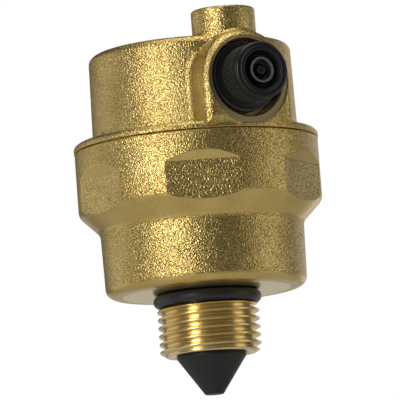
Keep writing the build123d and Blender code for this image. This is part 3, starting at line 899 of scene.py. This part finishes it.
def makeVentCap(values):
    low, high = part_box("vent_cap")
    axisHeight = (low.z + high.z) / 2
    outer = (high.z - low.z) / 2
    back, front = -high.y, -low.y
    edge, small = values["edgeRound"], values["smallRound"]
    recess, bore, hubHole = values["recessRadius"], values["boreRadius"], values["hubHoleRadius"]
    web = front - values["recessDepth"]
    webBack = front - values["webBackDepth"]
    rows = [(bore, back), (outer - small, back)]
    rows += arcRows(outer - small, back + small, small, -90, 0, 3)
    count = values["gripRows"]
    span = front - edge - back - 2 * small
    rows += [(outer, back + small + span * (index + 1) / count) for index in range(count - 1)]
    rows += arcRows(outer - edge, front - edge, edge, 0, 90, 6)
    groove = outer - edge - values["grooveInset"]
    floor = front - values["grooveDepth"]
    outerWall, floorEnd, innerWall = values["grooveWidths"]
    rows += [(groove, front), (groove - outerWall, floor), (groove - floorEnd, floor)]
    rows += [(groove - innerWall, front)]
    rows += arcRows(recess + small, front - small, small, 90, 180, 3)
    foot = recess - values["wallLean"]
    stepIn, stepUp = values["footStep"]
    rows += [(foot, web + small), (foot - stepIn, web + stepUp), (foot - small, web)]
    rows += [(hubHole, web), (hubHole, webBack), (bore, webBack)]
    place = Vector((0, 0, axisHeight))
    cap = lathe("knurledCap", rows, values["segments"], place, Vector((0, -1, 0)))
    tree = buildKnurlTree(values["facingOut"])
    applyTree(cap, tree, Rib_Count=float(values["ribCount"]), Rib_Depth=values["ribDepth"],
              Start=back + values["knurlStart"], End=back + values["knurlEnd"],
              Fade=values["fade"], Axis_Height=axisHeight, Material=capPlastic)
    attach(cap, "vent_cap")
    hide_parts("vent_cap")
    return cap


makeVentCap(capSet)
print("vent cap ready")


nozzleSet = {
    # radii and distances from the tip, in metres
    "tipRadius": 2.1 * mm,
    "neckRadius": 3.2 * mm,
    "boreRadius": 1.2 * mm,
    "rearBoreRadius": 0.9 * mm,
    "cupRadius": 1.74 * mm,
    "cupDepth": 1.1 * mm,
    "tipLength": 2.5 * mm,
    "flangeFront": 5.7 * mm,
    "flangeBack": 7.4 * mm,
    "boreFloor": 7.0 * mm,
    "flangeRound": 0.3 * mm,
    "tipRound": 0.12 * mm,
    "tipHighlight": (0.02 * mm, 0.09 * mm),      # reach of the painted rim highlight inwards and back
    "flangeHighlight": (0.24 * mm, 0.22 * mm),
    "highlightShares": (1.0, 0.6),               # how strong the painted highlight is on tip and flange
    "segments": 96,
}


def paintRimHighlights(piece, axisHeight, rims):
    # Painted highlight on rims, stored as a pale attribute: each is (least radius, least distance
    # out, how pale)
    rimHighlight = [0.0] * len(piece.data.vertices)
    for index, vertex in enumerate(piece.data.vertices):
        radius = math.hypot(vertex.co.x, vertex.co.z - axisHeight)
        for least, start, level in rims:
            if radius > least and -vertex.co.y > start:
                rimHighlight[index] = max(rimHighlight[index], level)
    layer = piece.data.attributes.new("paintedLight", "FLOAT", "POINT")
    layer.data.foreach_set("value", rimHighlight)


def makeVentNozzle(values):
    low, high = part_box("vent_nozzle")
    flange = (high.z - low.z) / 2
    end, tip = -high.y, -low.y
    neckFront = tip - values["tipLength"]
    flangeFront = tip - values["flangeFront"]
    flangeBack = tip - values["flangeBack"]
    floor = tip - values["boreFloor"]
    cup, bore, rear = values["cupRadius"], values["boreRadius"], values["rearBoreRadius"]
    neck, outer = values["neckRadius"], values["tipRadius"]
    big, small = values["flangeRound"], values["tipRound"]
    cupFloor = tip - values["cupDepth"]
    rows = [(rear, end), (neck, end), (neck, flangeBack), (flange, flangeBack)]
    rows += arcRows(flange - big, flangeFront - big, big, 0, 90, 5)
    rows += [(neck, flangeFront), (neck, neckFront), (outer, neckFront)]
    rows += arcRows(outer - small, tip - small, small, 0, 90, 4)
    rows += arcRows(cup + small / 2, tip - small / 2, small / 2, 90, 180, 3)
    rows += [(cup, cupFloor + big)]
    rows += arcRows(cup - big, cupFloor + big, big, 0, -90, 5)
    rows += [(bore, cupFloor), (bore, floor), (rear, floor)]
    axisHeight = (low.z + high.z) / 2
    place = Vector((0, 0, axisHeight))
    nozzle = lathe("screwedNozzle", rows, values["segments"], place, Vector((0, -1, 0)))
    tipIn, tipBack = values["tipHighlight"]
    flangeIn, flangeBehind = values["flangeHighlight"]
    tipShare, flangeShare = values["highlightShares"]
    # Tip and flange rims get a painted highlight
    paintRimHighlights(nozzle, axisHeight, [
        (cup - tipIn, tip - tipBack, tipShare),
        (flange - flangeIn, flangeFront - flangeBehind, flangeShare),
    ])
    nozzle.data.materials.append(capPlastic)
    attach(nozzle, "housing")
    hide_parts("vent_nozzle")
    return nozzle


makeVentNozzle(nozzleSet)
print("vent nozzle ready")
